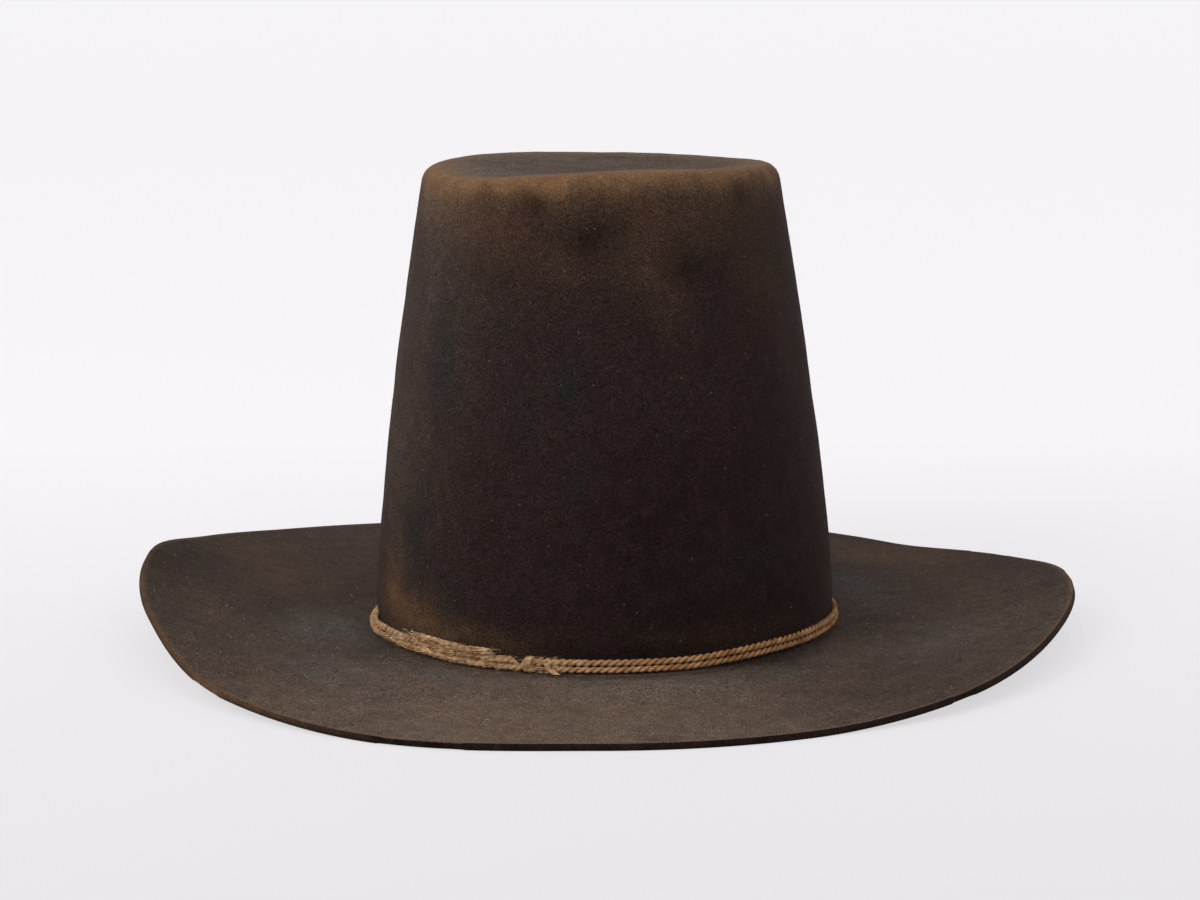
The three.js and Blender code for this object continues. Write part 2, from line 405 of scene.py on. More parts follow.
# On the crown, place is the height in mm
CROWN_MARKS = (
    Mark(Tint.RUBBED, 224, 158, 22, 9, 0.1), Mark(Tint.RUBBED, 243, 156, 12, 8, 0.09),
    Mark(Tint.RUBBED, 283, 150, 12, 15, 0.12), Mark(Tint.RUBBED, 290, 132, 6, 14, 0.07),
    Mark(Tint.RUBBED, 322, 146, 15, 24, 0.1), Mark(Tint.RUBBED, 300, 158, 18, 8, 0.1),
    Mark(Tint.RUBBED, 258, 146, 18, 9, 0.07), Mark(Tint.RUBBED, 330, 112, 8, 22, 0.04),
    Mark(Tint.RUBBED, 190, 90, 8, 70, 0.06), Mark(Tint.RUBBED, 350, 90, 7, 70, 0.06),
    Mark(Tint.RUBBED, 212, 18, 20, 8, 0.34), Mark(Tint.RUBBED, 206, 30, 9, 10, 0.16),
    Mark(Tint.RUBBED, 228, 13, 18, 5, 0.26), Mark(Tint.RUBBED, 246, 13, 12, 4, 0.14),
    Mark(Tint.RUBBED, 296, 15, 44, 5, 0.1), Mark(Tint.RUBBED, 345, 20, 14, 10, 0.08),
    Mark(Tint.RUBBED, 60, 140, 20, 24, 0.1), Mark(Tint.RUBBED, 110, 120, 14, 34, 0.08),
    Mark(Tint.RUBBED, 85, 16, 30, 8, 0.1), Mark(Tint.RUBBED, 150, 22, 18, 10, 0.1),
    Mark(Tint.FADED, 194, 90, 18, 80, 0.16), Mark(Tint.FADED, 215, 80, 20, 70, 0.11),
    Mark(Tint.FADED, 226, 130, 20, 30, 0.09), Mark(Tint.FADED, 205, 60, 10, 40, 0.07),
    Mark(Tint.FADED, 205, 165, 18, 9, 0.26), Mark(Tint.BLOOM, 212, 140, 16, 22, 0.12),
    Mark(Tint.FADED, 120, 80, 40, 60, 0.1), Mark(Tint.FADED, 40, 70, 26, 50, 0.07),
    Mark(Tint.DAMP, 222, 112, 10, 24, 0.72), Mark(Tint.DAMP, 216, 46, 8, 18, 0.75),
    Mark(Tint.DAMP, 228, 28, 10, 9, 0.4), Mark(Tint.DAMP, 262, 105, 6, 11, 0.68),
    Mark(Tint.DAMP, 249, 95, 7, 14, 0.42), Mark(Tint.DAMP, 262, 70, 6, 8, 0.5),
    Mark(Tint.DAMP, 309, 43, 12, 6, 0.45), Mark(Tint.DAMP, 240, 124, 5, 9, 0.35),
    Mark(Tint.DAMP, 70, 90, 14, 24, 0.45), Mark(Tint.DAMP, 130, 60, 12, 18, 0.45),
    Mark(Tint.SOILED, 250, 166, 5, 5, 0.55), Mark(Tint.SOILED, 265, 157, 7, 5, 0.4),
    Mark(Tint.SOILED, 318, 170, 5, 5, 0.5), Mark(Tint.SOILED, 298, 146, 10, 8, 0.36),
    Mark(Tint.SOILED, 272, 155, 60, 12, 0.2), Mark(Tint.SOILED, 330, 150, 30, 14, 0.16),
    Mark(Tint.SOILED, 286, 56, 46, 38, 0.42), Mark(Tint.SOILED, 322, 90, 26, 66, 0.34),
    # Painted shadow: the two dark marks low on the front right, just above the cords
    Mark(Tint.SOILED, 300, 20, 60, 12, 0.3), Mark(Tint.SOILED, 275, 11, 34, 4, 0.4),
)
# On the brim, place is the share of the way to the edge, in hundredths
BRIM_MARKS = (
    Mark(Tint.RUBBED, 258, 66, 40, 16, 0.09), Mark(Tint.RUBBED, 282, 60, 34, 14, 0.07),
    Mark(Tint.RUBBED, 240, 34, 22, 12, 0.06), Mark(Tint.RUBBED, 228, 78, 26, 14, 0.08),
    Mark(Tint.RUBBED, 162, 52, 36, 22, 0.13), Mark(Tint.RUBBED, 156, 84, 30, 16, 0.1),
    Mark(Tint.RUBBED, 196, 64, 16, 12, 0.05), Mark(Tint.RUBBED, 36, 78, 40, 22, 0.24),
    Mark(Tint.RUBBED, 12, 60, 30, 14, 0.1), Mark(Tint.RUBBED, 300, 40, 30, 10, 0.05),
    Mark(Tint.RUBBED, 344, 62, 26, 12, 0.05), Mark(Tint.RUBBED, 80, 60, 60, 24, 0.12),
    Mark(Tint.RUBBED, 120, 70, 30, 16, 0.1),
    Mark(Tint.BLOOM, 192, 20, 26, 18, 0.55), Mark(Tint.BLOOM, 222, 46, 26, 16, 0.35),
    Mark(Tint.BLOOM, 236, 16, 24, 10, 0.35), Mark(Tint.BLOOM, 290, 20, 46, 12, 0.3),
    Mark(Tint.BLOOM, 336, 52, 30, 18, 0.25), Mark(Tint.BLOOM, 20, 24, 26, 16, 0.25),
    Mark(Tint.DAMP, 170, 82, 22, 12, 0.4), Mark(Tint.DAMP, 312, 12, 20, 8, 0.3),
    Mark(Tint.DAMP, 204, 8, 20, 6, 0.35), Mark(Tint.DAMP, 180, 44, 16, 10, 0.25),
    Mark(Tint.DAMP, 60, 30, 40, 16, 0.4), Mark(Tint.DAMP, 350, 14, 18, 12, 0.3),
    Mark(Tint.SOILED, 180, 92, 34, 8, 0.3), Mark(Tint.SOILED, 4, 93, 30, 7, 0.25),
    Mark(Tint.SOILED, 270, 3, 60, 5, 0.5), Mark(Tint.SOILED, 315, 3, 40, 5, 0.45),
)
# How much lighter the brim's top is, from fading and painted light that is strongest at the front, and how
# rubbed the crest and the rim are
BRIM_FADE_AND_LIGHT = (
    Row(0, 0.36), Row(20, 0.24), Row(90, 0.3), Row(165, 0.24), Row(185, 0.34),
    Row(215, 0.5), Row(238, 0.8), Row(270, 0.94), Row(290, 0.74), Row(308, 0.4),
    Row(335, 0.38),
)
CREST_WEAR = (
    Row(0, 0.62), Row(90, 0.7), Row(180, 0.8), Row(225, 0.9), Row(250, 0.9),
    Row(275, 0.84), Row(305, 0.78), Row(330, 0.76),
)
RIM_WEAR = (
    Row(0, 0.3), Row(60, 0.2), Row(150, 0.3), Row(200, 0.55), Row(228, 0.5),
    Row(242, 0.2), Row(256, 0.03), Row(312, 0.02), Row(335, 0.14),
)


@dataclass(frozen=True)
class FurFelt:
    """Fur felt, dyed, blocked and stiffened, then worn for years.

    The fibres lie matted in short curls, so it is quite matt and grainy, with a faint
    sheen at grazing angles, and what is rubbed goes from black-brown to tan.
    """

    dyed: str = "#3b2b28"
    deep: str = "#261b19"
    # The rubbed colour also paints the highlight along the brim's upper edge
    rubbed: str = "#8e6b49"
    # The fading colour also paints the highlight outside the crest and the light on the brim's front
    faded_and_lit: str = "#7d6b5d"
    damp: str = "#272928"
    # The soil colour also paints the shade on the brim's cut edge and just above the cords
    soil_and_shade: str = "#140a06"
    # The haze colour also paints the sheen on the left of the top
    bloom_and_sheen: str = "#6e6e6b"
    cool: str = "#2f3033"
    lint: str = "#8d8378"
    sheen: str = "#a38a6c"
    # The real fibres are 0.02 mm thick: the curls and grain are drawn as coarse as the eye can tell
    curl_size: float = 1.3 * MM
    grain_size: float = 0.62 * MM
    mottle_size: float = 9 * MM
    cloud_size: float = 3.4 * MM
    fleck_size: float = 5.2 * MM
    drift_size: float = 6 * MM
    scuff_size: float = 7 * MM
    bareness: float = 0.6
    relief: float = 0.8 * MM
    roughness: float = 0.95
    ior: float = 1.45

    def material(self) -> bpy.types.Material:
        """Builds the felt's material."""
        material = empty_material("fur_felt")
        tree = material.node_tree
        place = add_node(tree, "ShaderNodeTexCoord")
        mottle = add_node(tree, "ShaderNodeTexNoise",
                          {"Scale": 1 / self.mottle_size, "Detail": 6.0, "Roughness": 0.62},
                          {0: (place, "Object")})
        curl = add_node(tree, "ShaderNodeTexNoise",
                        {"noise_type": "RIDGED_MULTIFRACTAL", "Detail": 2.0, "Roughness": 0.55,
                         "Lacunarity": 2.1, "Distortion": 0.8, "Scale": 1 / self.curl_size},
                        {0: (place, "Object")})
        grain = add_node(tree, "ShaderNodeTexNoise",
                         {"Scale": 1 / self.grain_size, "Detail": 2.0, "Roughness": 0.7},
                         {0: (place, "Object")})
        cloud = add_node(tree, "ShaderNodeTexNoise",
                         {"Scale": 1 / self.cloud_size, "Detail": 3.0, "Roughness": 0.6},
                         {0: (place, "Object")})
        finish = add_node(tree, "ShaderNodeAttribute", {"attribute_name": "finish"})
        marks = add_node(tree, "ShaderNodeSeparateColor", links={0: (finish, "Color")})
        worn = self.worn(tree, place, mottle, finish, marks)
        colour = self.fibres(tree, worn, marks, curl, grain, cloud)
        height = add_node(tree, "ShaderNodeMath", {"operation": "MULTIPLY_ADD", 1: 0.35},
                          {0: (curl, 0), 2: (grain, 0)})
        bump = add_node(tree, "ShaderNodeBump", {"Strength": 1.0, "Distance": self.relief},
                        {"Height": (height, 0)})
        shader = add_node(tree, "ShaderNodeBsdfPrincipled",
                          {"Roughness": self.roughness, "IOR": self.ior, "Specular IOR Level": 0.12,
                           "Sheen Weight": 0.06, "Sheen Roughness": 0.5,
                           "Sheen Tint": hex_colour(self.sheen)},
                          {"Base Color": self.flecks(tree, colour, place), "Normal": (bump, 0)})
        add_node(tree, "ShaderNodeOutputMaterial", links={"Surface": (shader, 0)})
        return material

    def worn(self, tree: bpy.types.NodeTree, place: bpy.types.Node, mottle: bpy.types.Node,
             finish: bpy.types.Node, marks: bpy.types.Node) -> Socket:
        """Lays the colours of each tint over the dye, painted light and shade among them, each one uneven by its
        reach either way.

        Args:
            tree: The material's node tree.
            place: The hat's own coordinates.
            mottle: The pattern that breaks up the fading and the painted light in its channel.
            finish: The attribute of the first four tints.
            marks: The same, parted into its channels.

        Returns:
            Node and output of the colour.
        """
        drift = add_node(tree, "ShaderNodeTexNoise",
                         {"Scale": 1 / self.drift_size, "Detail": 4.0, "Roughness": 0.7},
                         {0: (place, "Object")})
        scuff = add_node(tree, "ShaderNodeTexNoise",
                         {"Scale": 1 / self.scuff_size, "Detail": 3.0, "Roughness": 0.5, "Distortion": 0.6},
                         {0: (place, "Object")})
        bloom_and_sheen = add_node(tree, "ShaderNodeAttribute", {"attribute_name": "bloom_and_sheen"})
        dyed = add_node(tree, "ShaderNodeMix",
                        {"data_type": "RGBA", 6: hex_colour(self.deep), 7: hex_colour(self.dyed)},
                        {0: (mottle, 0)})
        cooler = add_node(tree, "ShaderNodeMapRange",
                          {"From Min": 0.45, "From Max": 0.75, "To Min": 0.0, "To Max": 0.3}, {0: (drift, 0)})
        colour = add_node(tree, "ShaderNodeMix", {"data_type": "RGBA", 7: hex_colour(self.cool)},
                          {0: (cooler, 0), 6: (dyed, 2)})
        # The fading layer also paints highlights and light, the haze layer a sheen, the rubbed layer the brim
        # edge's highlight, and the soil layer shade
        layers = (
            (self.faded_and_lit, (marks, 1), mottle, 1.3),
            (self.bloom_and_sheen, (bloom_and_sheen, "Fac"), mottle, 2.2),
            (self.damp, (marks, 2), scuff, 2.2),
            (self.rubbed, (marks, 0), scuff, 1.6),
            (self.soil_and_shade, (finish, "Alpha"), scuff, 1.8),
        )
        for over, channel, pattern, reach in layers:
            gain = add_node(tree, "ShaderNodeMath",
                            {"operation": "MULTIPLY_ADD", 1: reach, 2: 1 - reach / 2}, {0: (pattern, 0)})
            share = add_node(tree, "ShaderNodeMath", {"operation": "MULTIPLY", "use_clamp": True},
                             {0: channel, 1: (gain, 0)})
            colour = add_node(tree, "ShaderNodeMix", {"data_type": "RGBA", 7: hex_colour(over)},
                              {0: (share, 0), 6: (colour, 2)})
        return colour, 2

    def fibres(self, tree: bpy.types.NodeTree, colour: Socket, marks: bpy.types.Node,
               curl: bpy.types.Node, grain: bpy.types.Node, cloud: bpy.types.Node) -> Socket:
        """Paints the grain's tone with painted shade in it: the raised fibres lighter and the pits between them
        darker, less where the nap is rubbed off.

        Args:
            tree: The material's node tree.
            colour: Node and output of the colour without fibres.
            marks: The tints' channels.
            curl: The pattern of short curls.
            grain: The pattern of single fibres.
            cloud: The broad unevenness of the nap.

        Returns:
            Node and output of the colour.
        """
        fine = add_node(tree, "ShaderNodeMapRange",
                        {"From Min": 0.34, "From Max": 0.66, "To Min": 0.3, "To Max": 1.75}, {0: (grain, 0)})
        raised = add_node(tree, "ShaderNodeMapRange",
                          {"From Min": 0.1, "From Max": 0.9, "To Min": 0.7, "To Max": 1.35}, {0: (curl, 0)})
        soft = add_node(tree, "ShaderNodeMapRange",
                        {"From Min": 0.3, "From Max": 0.7, "To Min": 0.85, "To Max": 1.15}, {0: (cloud, 0)})
        both = add_node(tree, "ShaderNodeMath", {"operation": "MULTIPLY"}, {0: (fine, 0), 1: (raised, 0)})
        napped = add_node(tree, "ShaderNodeMath", {"operation": "MULTIPLY"}, {0: (both, 0), 1: (soft, 0)})
        bare = add_node(tree, "ShaderNodeMath",
                        {"operation": "MULTIPLY", "use_clamp": True, 1: self.bareness}, {0: (marks, 0)})
        gain = add_node(tree, "ShaderNodeMix", {"data_type": "FLOAT", 3: 1.0}, {0: (bare, 0), 2: (napped, 0)})
        scaled = add_node(tree, "ShaderNodeVectorMath", {"operation": "SCALE"},
                          {0: colour, "Scale": (gain, 0)})
        return scaled, 0

    def flecks(self, tree: bpy.types.NodeTree, colour: Socket, place: bpy.types.Node) -> Socket:
        """Adds specks of pale lint, in some cells of a scattered pattern."""
        cells = add_node(tree, "ShaderNodeTexVoronoi", {"Scale": 1 / self.fleck_size, "Randomness": 1.0},
                         {0: (place, "Object")})
        speck = add_node(tree, "ShaderNodeMapRange",
                         {"From Min": 0.09, "From Max": 0.04, "To Min": 0.0, "To Max": 0.3},
                         {0: (cells, "Distance")})
        chance = add_node(tree, "ShaderNodeSeparateColor", links={0: (cells, "Color")})
        chosen = add_node(tree, "ShaderNodeMath", {"operation": "GREATER_THAN", 1: 0.7}, {0: (chance, 0)})
        share = add_node(tree, "ShaderNodeMath", {"operation": "MULTIPLY"}, {0: (speck, 0), 1: (chosen, 0)})
        flecked = add_node(tree, "ShaderNodeMix", {"data_type": "RGBA", 7: hex_colour(self.lint)},
                           {0: (share, 0), 6: colour})
        return flecked, 2


@dataclass(frozen=True)
class BastTwine:
    """Two-ply twine of a bast fibre such as flax or hemp, undyed and darkened with age.

    The fibres lie along each ply, so it is streaked lengthways, matt and hairy.
    """

    name: str = "bast_twine"
    pale: str = "#d8b184"
    dark: str = "#8c6136"
    # It has aged more towards the hat's right: by how much, and over which stretch along X
    aged: tuple[float, float, float] = (0.66, 0.555, 0.475)
    ages_over: tuple[float, float] = (-45 * MM, 40 * MM)
    darkest: float = 0.5
    palest: float = 0.95
    patch: float = 5 * MM
    streak: float = 0.35 * MM
    relief: float = 0.12 * MM
    roughness: float = 0.88
    ior: float = 1.5

    def material(self) -> bpy.types.Material:
        """Builds the twine's material."""
        material = empty_material(self.name)
        tree = material.node_tree
        place = add_node(tree, "ShaderNodeTexCoord")
        broad = add_node(tree, "ShaderNodeTexNoise", {"Scale": 1 / self.patch, "Detail": 3.0},
                         {0: (place, "Object")})
        fine = add_node(tree, "ShaderNodeTexNoise",
                        {"Scale": 1 / self.streak, "Detail": 2.0, "Distortion": 0.5},
                        {0: (place, "Object")})
        blend = add_node(tree, "ShaderNodeMath", {"operation": "MULTIPLY_ADD", 1: 0.5},
                         {0: (fine, 0), 2: (broad, 0)})
        share = add_node(tree, "ShaderNodeMapRange", {"From Min": self.darkest, "From Max": self.palest},
                         {0: (blend, 0)})
        colour = add_node(tree, "ShaderNodeMix",
                          {"data_type": "RGBA", 6: hex_colour(self.dark), 7: hex_colour(self.pale)},
                          {0: (share, 0)})
        sides = add_node(tree, "ShaderNodeSeparateXYZ", links={0: (place, "Object")})
        start, end = self.ages_over
        age = add_node(tree, "ShaderNodeMapRange",
                       {"interpolation_type": "SMOOTHSTEP", "From Min": start, "From Max": end},
                       {0: (sides, "X")})
        browned = add_node(tree, "ShaderNodeVectorMath", {"operation": "MULTIPLY", 1: self.aged},
                           {0: (colour, 2)})
        handled = add_node(tree, "ShaderNodeMix", {"data_type": "RGBA"},
                           {0: (age, 0), 6: (colour, 2), 7: (browned, 0)})
        bump = add_node(tree, "ShaderNodeBump", {"Strength": 0.6, "Distance": self.relief},
                        {"Height": (fine, 0)})
        shader = add_node(tree, "ShaderNodeBsdfPrincipled",
                          {"Roughness": self.roughness, "IOR": self.ior, "Specular IOR Level": 0.3},
                          {"Base Color": (handled, 2), "Normal": (bump, 0)})
        add_node(tree, "ShaderNodeOutputMaterial", links={"Surface": (shader, 0)})
        return material


# Combed yarn of the same fibre, where the lay has opened: paler, with dark gaps close together
COMBED_BAST = BastTwine("combed_bast", "#eccb9f", "#6a4420", darkest=0.56, patch=2 * MM)


@dataclass(frozen=True)
class WoolLint:
    """Loose wool and dust caught on the felt: pale, matt and of no even colour."""

    pale: str = "#afa498"
    grey: str = "#7a7068"
    patch: float = 8 * MM
    roughness: float = 0.95
    ior: float = 1.54

    def material(self) -> bpy.types.Material:
        """Builds the lint's material."""
        material = empty_material("wool_lint")
        tree = material.node_tree
        place = add_node(tree, "ShaderNodeTexCoord")
        patches = add_node(tree, "ShaderNodeTexNoise", {"Scale": 1 / self.patch}, {0: (place, "Object")})
        share = add_node(tree, "ShaderNodeMapRange", {"From Min": 0.4, "From Max": 0.65}, {0: (patches, 0)})
        colour = add_node(tree, "ShaderNodeMix",
                          {"data_type": "RGBA", 6: hex_colour(self.grey), 7: hex_colour(self.pale)},
                          {0: (share, 0)})
        shader = add_node(tree, "ShaderNodeBsdfPrincipled",
                          {"Roughness": self.roughness, "IOR": self.ior, "Specular IOR Level": 0.2},
                          {"Base Color": (colour, 2)})
        add_node(tree, "ShaderNodeOutputMaterial", links={"Surface": (shader, 0)})
        return material


def finish_piece(name: str, mesh: bpy.types.Mesh, replaced: Sequence[str] = ()) -> None:
    """Puts a mesh that has its materials in the scene, as a piece of the hat.

    Args:
        name: The piece's name.
        mesh: Its mesh, in the hat's frame.
        replaced: The frame's nodes that it stands for.
    """
    mesh.name = name
    mesh.shade_smooth()
    piece = bpy.data.objects.new(name, mesh)
    bpy.context.scene.collection.objects.link(piece)
    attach(piece, BODY)
    if replaced:
        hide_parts(*replaced)
    log.info("%s: %d faces", name, len(mesh.polygons))


class Shade(Enum):
    """Which of its piece's finishes a strand has; the cords have both."""

    TWINE = 0
    COMBED = 1


class Strand(NamedTuple):
    """A strand: its points, the radius at each in metres, its finish, and whether it closes."""

    points: Sequence[Vector]
    radii: Sequence[float]
    shade: Shade = Shade.TWINE
    closes: bool = False


def shares(steps: int) -> list[float]:
    """Even steps from 0 to 1, with both ends."""
    return [i / steps for i in range(steps + 1)]


def tubes_mesh(strands: Sequence[Strand], sides: int,
               materials: Sequence[bpy.types.Material]) -> bpy.types.Mesh:
    """Turns strands into one mesh of tubes.

    Args:
        strands: The strands.
        sides: How many sides a tube has: 4, 6 or 8.
        materials: The finishes that the strands' shades name.

    Returns:
        The mesh.
    """
    curve = bpy.data.curves.new("strands", "CURVE")
    curve.dimensions = "3D"
    curve.bevel_depth = 1.0
    curve.bevel_resolution = sides // 2 - 2
    curve.use_fill_caps = True
    for material in materials:
        curve.materials.append(material)
    for strand in strands:
        spline = curve.splines.new("POLY")
        spline.points.add(len(strand.points) - 1)
        for place, point, radius in zip(spline.points, strand.points, strand.radii):
            place.co = (*point, 1.0)
            place.radius = radius
        spline.use_cyclic_u = strand.closes
        spline.material_index = strand.shade.value
    holder = bpy.data.objects.new("strands", curve)
    bpy.context.scene.collection.objects.link(holder)
    bpy.context.view_layer.update()
    graph = bpy.context.evaluated_depsgraph_get()
    mesh = bpy.data.meshes.new_from_object(holder.evaluated_get(graph))
    bpy.data.objects.remove(holder)
    bpy.data.curves.remove(curve)
    return mesh


@dataclass
class FeltBody:
    """Crown and brim, blocked from one disc of felt."""

    shape: FeltShape
    felt: FurFelt
    segments: int = 264
    rings_per_zone: tuple[int, ...] = (24, 7, 62, 7, 40)
    rim_round: float = 0.8 * MM
    lump_size: float = 26 * MM
    lump_height: float = 0.35 * MM
    patch_size: float = 34 * MM
    push_size: float = 14 * MM
    edge_from: float = 4.985
    # Lint: how many fibres, how many of them are on the brim, and between which stations they lie
    lint_count: int = 1300
    lint_share_on_brim: float = 0.72
    lint_on_brim: tuple[float, float] = (4.04, 4.97)
    lint_on_crown: tuple[float, float] = (1.1, 3.9)
    lint_thickest_at: float = 235.0
    crest_wear: RoundTable = RoundTable.of(CREST_WEAR, unit=1.0)
    rim_wear: RoundTable = RoundTable.of(RIM_WEAR, unit=1.0)
    brim_fade_and_light: RoundTable = RoundTable.of(BRIM_FADE_AND_LIGHT, unit=1.0)

    def disc(self) -> bmesh.types.BMesh:
        """Spins a line of points into the flat disc that is then blocked."""
        disc = bmesh.new()
        stations = [0.0]
        for zone, count in enumerate(self.rings_per_zone):
            stations += [zone + (i + 1) / count for i in range(count)]
        line = [disc.verts.new((station, 0, 0)) for station in stations]
        edges = [disc.edges.new(pair) for pair in zip(line, line[1:])]
        bmesh.ops.spin(disc, geom=line + edges, cent=(0, 0, 0), axis=(0, 0, 1), angle=math.tau,
                       steps=self.segments, use_merge=True, use_duplicate=False)
        bmesh.ops.remove_doubles(disc, verts=disc.verts, dist=1e-6)
        return disc

    def block(self, disc: bmesh.types.BMesh) -> None:
        """Presses the disc into the hat's shape, then gives it the felt's thickness and round edge."""
        station_of = disc.verts.layers.float.new("station")
        angle_of = disc.verts.layers.float.new("angle")
        outside = disc.verts.layers.float.new("outside")
        for vert in disc.verts:
            station = min(vert.co.xy.length, self.shape.STATIONS)
            angle = round(math.degrees(math.atan2(vert.co.y, vert.co.x)) % FULL_TURN, 4)
            vert[station_of] = station
            vert[angle_of] = angle
            vert.co = self.shape.inner(angle, station)
        grown = bmesh.ops.extrude_face_region(disc, geom=list(disc.faces), use_keep_orig=True)
        for vert in grown["geom"]:
            if isinstance(vert, bmesh.types.BMVert):
                angle, station = vert[angle_of], vert[station_of]
                normal = self.shape.normal(angle, station)
                vert.co += normal * (self.shape.wall + self.relief(vert.co, station))
                vert[outside] = 1.0
        rims = [e for e in disc.edges if all(v[station_of] > self.shape.STATIONS - 1e-4 for v in e.verts)
                and e.verts[0][outside] == e.verts[1][outside]]
        bmesh.ops.bevel(disc, geom=rims, offset=self.rim_round, offset_type="OFFSET", segments=3,
                        profile=0.5, affect="EDGES", material=-1)
        bmesh.ops.recalc_face_normals(disc, faces=disc.faces)
        disc.normal_update()

    def relief(self, place: Vector, station: float) -> float:
        """The felt's own soft unevenness, in metres."""
        # Weaker at the middle of the top, where the cords lie, and at the edge, which rests on the table
        fade = smooth(station, 0, 0.3) * (1 - 0.8 * bell((station - self.shape.CORNER - 0.5) / 0.6))
        fade *= 1 - 0.85 * smooth(station, 4.6, 4.98)
        broad = noise.noise(place / self.lump_size)
        fine = noise.noise(place / (self.lump_size / 3) + Vector((7, 3, 1)))
        return fade * self.lump_height * (broad + 0.4 * fine)

    def tint(self, disc: bmesh.types.BMesh) -> None:
        """Writes how much of each tint the felt has at each point."""
        station_of = disc.verts.layers.float["station"]
        angle_of = disc.verts.layers.float["angle"]
        finish = disc.verts.layers.float_color.new("finish")
        bloom_and_sheen = disc.verts.layers.float.new("bloom_and_sheen")
        for vert in disc.verts:
            normal = self.shape.normal(vert[angle_of], vert[station_of])
            amounts = self.wear_and_light(vert.co, vert[angle_of], vert[station_of], vert.normal.dot(normal))
            vert[finish] = amounts[:Tint.BLOOM.value]
            vert[bloom_and_sheen] = amounts[Tint.BLOOM.value]

    def wear_and_light(self, place: Vector, angle: float, station: float, turned: float) -> list[float]:
        """How much of each tint there is at one point.

        Args:
            place: The point, in metres.
            angle: Degrees round the hat.
            station: From 0 at the middle of the top to 5 at the edge.
            turned: 1 where the surface faces out of the felt's outer face, -1 on the inner one.

        Returns:
            The amounts, in the order of Tint, each from 0 to 1.
        """
        shape = self.shape
        patch = 0.5 + 0.5 * noise.noise(place / self.patch_size + Vector((2, 9, 4)))
        if station > self.edge_from:
            # A rubbed line along the edge's upper corner, partly wear and partly a painted highlight; its cut
            # face has painted shade, or is rubbed where it is worn
            bare = self.rim_wear.at(angle)
            # Partly wear and partly a painted highlight along the edge's upper corner
            line = bell((turned - 0.93) / 0.1) * (0.3 + 0.3 * patch)
            face = smooth(turned, -0.9, -0.3) * (1 - smooth(turned, 0.6, 0.97))
            top = smooth(turned, 0.8, 1)
            faded_and_lit = self.faded_and_lit_brim(angle, patch) * top
            # Painted shade on the cut face and the underside by the edge, less where the rim is worn
            soil_and_shade = 0.95 * (1 - smooth(turned, 0.5, 0.9)) * (1 - 1.6 * bare)
            return [line + bare * face, faded_and_lit, 0.0, max(soil_and_shade, 0.0), 0.0]
        if turned < 0:
            # Inside and underneath: hardly faded, a little more so under the brim
            brim = smooth(station, shape.CORNER, shape.BRIM + 0.2)
            return [0.0, 0.1 + 0.2 * brim * patch, 0.15 * patch, 0.1, 0.0]
        if station >= shape.BRIM:
            return self.brim_wear_and_light(place, angle, station, patch)
        return self.crown_wear_and_light(place, angle, station, patch)

    def faded_and_lit_brim(self, angle: float, patch: float) -> float:
        """How much lighter the top of the brim is at an angle, from fading and painted light that is strongest
        at the front, uneven by the patches.
        """
        return (0.8 + 0.4 * patch) * self.brim_fade_and_light.at(angle)

    @staticmethod
    def held(amounts: Sequence[float]) -> list[float]:
        """Holds each amount from 0 to 1."""
        return [min(max(amount, 0.0), 1.0) for amount in amounts]

    def marked(self, marks: Sequence[Mark], place: Vector, angle: float, level: float,
               radius: float, unit: float) -> list[float]:
        """Adds up the marks at one point, with their borders pushed about.

        Args:
            marks: The marks of the crown or of the brim.
            place: The point, in metres.
            angle: Degrees round the hat.
            level: The point's height in metres, or its share of the way out over the brim.
            radius: How far the surface is from the middle there, in metres.
            unit: What one step of the marks' place and along is, in the level's own measure.

        Returns:
            The amounts, in the order of Tint.
        """
        push = noise.noise(place / self.push_size)
        lift = noise.noise(place / self.push_size + Vector((5, 5, 5)))
        amounts = [0.0] * len(Tint)
        for mark in marks:
            across = (math.radians(turn_between(angle, mark.at)) * radius / MM + 5 * push) / mark.round
            along = (level / unit + 4 * lift - mark.place) / mark.along
            amounts[mark.tint.value] += mark.strength * bell(math.hypot(across, along))
        return amounts

    def crown_wear_and_light(self, place: Vector, angle: float, station: float, patch: float) -> list[float]:
        """The amounts on the crown: most worn at its shoulder, fading on its top, with a painted highlight
        outside the crest and a painted sheen on the top's left.
        """
        shape = self.shape
        # The marks fade out on the dish, where their angles run together
        on_wall = smooth(station, 0.3, 0.8)
        amounts = self.marked(CROWN_MARKS, place, angle, place.z, shape.head_half_width, MM)
        amounts = [on_wall * amount for amount in amounts]
        # Rubbed most at the crest, and ever less some 30 mm down the wall, with an uneven border
        below = (shape.meridian(angle).crest - place.z) / MM
        below += 2.2 * noise.noise(place / (9 * MM)) + 3 * (patch - 0.5)
        crest = smooth(station, 0.7, 1.15)
        worn = self.crest_wear.at(angle)
        band = 0.58 * bell(max(below, 0) / 6) + 0.2 * bell(below / 13) + 0.07 * bell(below / 34)
        amounts[Tint.RUBBED.value] += crest * worn * band
        # Fading on the dish and just outside it, a painted highlight along the pale line outside the crest, and
        # a grey haze with a painted sheen to the top's left
        top = 1 - smooth(station, 0.95, 1.35)
        amounts[Tint.FADED.value] += top * (0.48 + 0.2 * patch) + 0.1 * crest * bell(below / 9)
        # Painted highlight: a pale line just outside the crest
        amounts[Tint.FADED.value] += 0.55 * bell((station - 1.16) / 0.24)
        # Painted sheen with a grey haze on the top, lighter towards the left
        amounts[Tint.BLOOM.value] += top * (0.1 + 0.25 * patch) * (1 - smooth(place.x, -60 * MM, 50 * MM))
        amounts[Tint.RUBBED.value] += 0.05 * top * patch
        # Faded towards the brim
        amounts[Tint.FADED.value] += 0.4 * smooth(station, shape.CORNER, shape.BRIM)
        return self.held(amounts)

